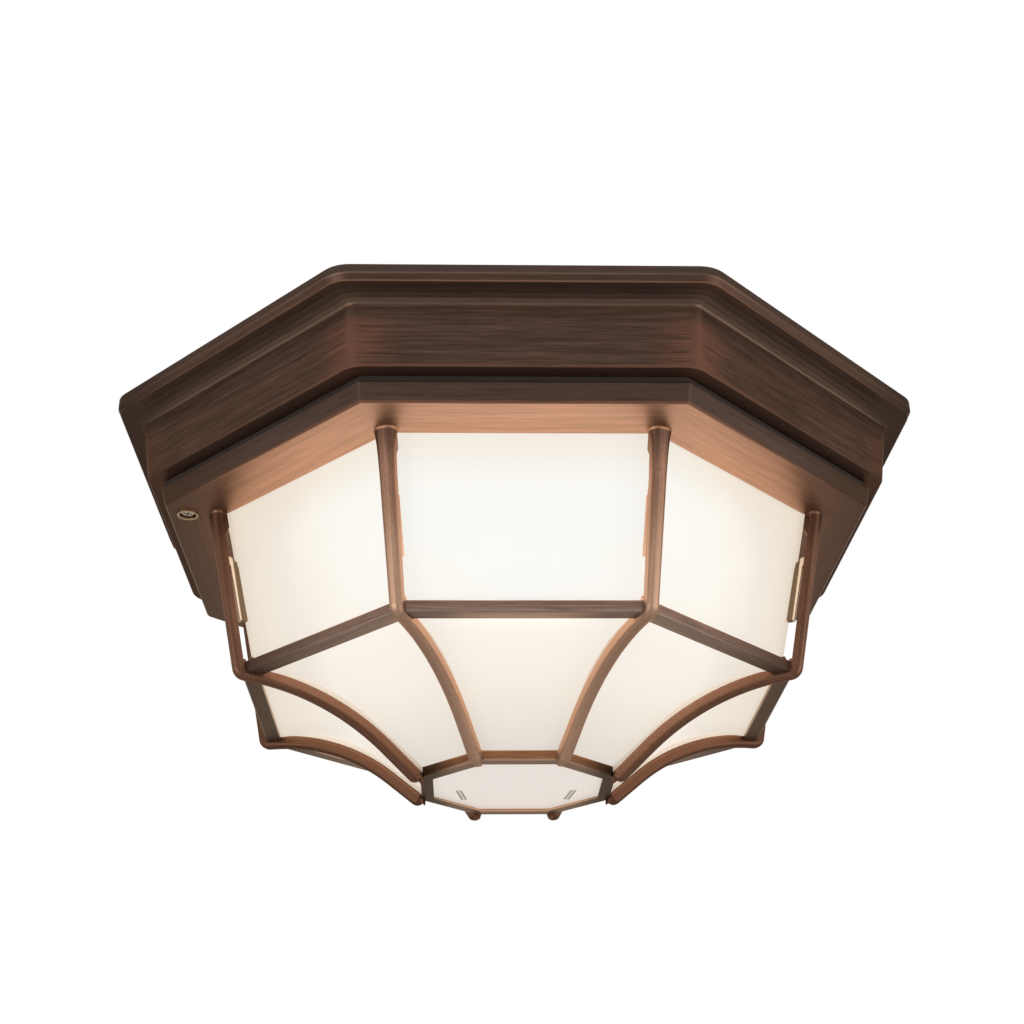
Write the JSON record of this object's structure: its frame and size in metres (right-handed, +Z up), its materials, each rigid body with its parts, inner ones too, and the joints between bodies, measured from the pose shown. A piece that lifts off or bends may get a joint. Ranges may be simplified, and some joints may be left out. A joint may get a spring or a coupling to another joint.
{
  "type": "flush mount ceiling light",
  "caption": "Octagonal flush mount ceiling light with a brushed bronze canopy and a hinged cage of curled ribs and frosted panes around screw-base lamps, held shut by a latch screw.",
  "frame": {"origin": "centre of the ceiling plane, at the middle of the mounting strap's top face", "axes": "+Z up into the ceiling, -Y towards the front flat side, +X to the viewer's right"},
  "size_m": [0.305, 0.305, 0.1369],
  "materials": {
    "antique_bronze": "brushed antique bronze over cast metal",
    "frosted_glass": "frosted, lit from behind",
    "gasket_foam": "closed-cell foam",
    "zinc_steel": "zinc plated",
    "clip_steel": "bronzed spring strip",
    "brass_fixing": "nickel-toned brass",
    "earth_green": "green",
    "grommet_rubber": "matte",
    "porcelain": "white glaze",
    "shell_aluminium": "rolled",
    "lamp_collar": "white moulding",
    "lamp_globe": "opal"
  },
  "bodies": {
    "canopy": {"canopy_pan": "antique_bronze", "canopy_gasket": "gasket_foam", "mounting_strap": "zinc_steel", "fixing_studs": "zinc_steel", "holder_bracket_left": "zinc_steel", "holder_bracket_right": "zinc_steel", "bracket_screws": "zinc_steel", "hinge_pin": "zinc_steel", "hinge_clip": "zinc_steel", "cap_nuts": "brass_fixing", "earth_screw": "earth_green", "wire_grommet": "grommet_rubber", "holder_body_left": "porcelain", "holder_shell_left": "shell_aluminium", "holder_body_right": "porcelain", "holder_shell_right": "shell_aluminium"},
    "cage": {"cage_flange": "antique_bronze", "cage_rib_1": "antique_bronze", "cage_rib_2": "antique_bronze", "cage_rib_3": "antique_bronze", "cage_rib_4": "antique_bronze", "cage_rib_5": "antique_bronze", "cage_rib_6": "antique_bronze", "cage_rib_7": "antique_bronze", "cage_rib_8": "antique_bronze", "mid_ring_bars": "antique_bronze", "bottom_ring": "antique_bronze", "rib_screws": "zinc_steel", "upper_pane_1": "frosted_glass", "upper_pane_2": "frosted_glass", "upper_pane_3": "frosted_glass", "upper_pane_4": "frosted_glass", "upper_pane_5": "frosted_glass", "upper_pane_6": "frosted_glass", "upper_pane_7": "frosted_glass", "upper_pane_8": "frosted_glass", "lower_pane_1": "frosted_glass", "lower_pane_2": "frosted_glass", "lower_pane_3": "frosted_glass", "lower_pane_4": "frosted_glass", "lower_pane_5": "frosted_glass", "lower_pane_6": "frosted_glass", "lower_pane_7": "frosted_glass", "lower_pane_8": "frosted_glass", "bottom_pane": "frosted_glass", "upper_clips": "clip_steel", "lower_clips": "clip_steel", "bottom_clips": "clip_steel", "clip_screws": "zinc_steel", "latch_washer": "brass_fixing"},
    "latch": {"latch_screw": "brass_fixing"},
    "lamp_left": {"lamp_base_left": "shell_aluminium", "lamp_collar_left": "lamp_collar", "lamp_globe_left": "lamp_globe"},
    "lamp_right": {"lamp_base_right": "shell_aluminium", "lamp_collar_right": "lamp_collar", "lamp_globe_right": "lamp_globe"}
  },
  "joints": [
    {"name": "cage_hinge", "type": "hinge", "parent": "canopy", "child": "cage", "pos_m": [0.09709, 0.09709, -0.037], "axis": [0.7071, -0.7071, 0], "range_deg": [0, 90]},
    {"name": "latch_screw_turn", "type": "hinge", "parent": "cage", "child": "latch", "pos_m": [-0.12497, -0.04735, -0.042], "axis": [0, 0, 1], "continuous": true},
    {"name": "lamp_left_turn", "type": "hinge", "parent": "canopy", "child": "lamp_left", "pos_m": [-0.03, -0.04, -0.045], "axis": [1, 0, 0], "continuous": true},
    {"name": "lamp_right_turn", "type": "hinge", "parent": "canopy", "child": "lamp_right", "pos_m": [0.03, 0.04, -0.045], "axis": [-1, 0, 0], "continuous": true}
  ]
}
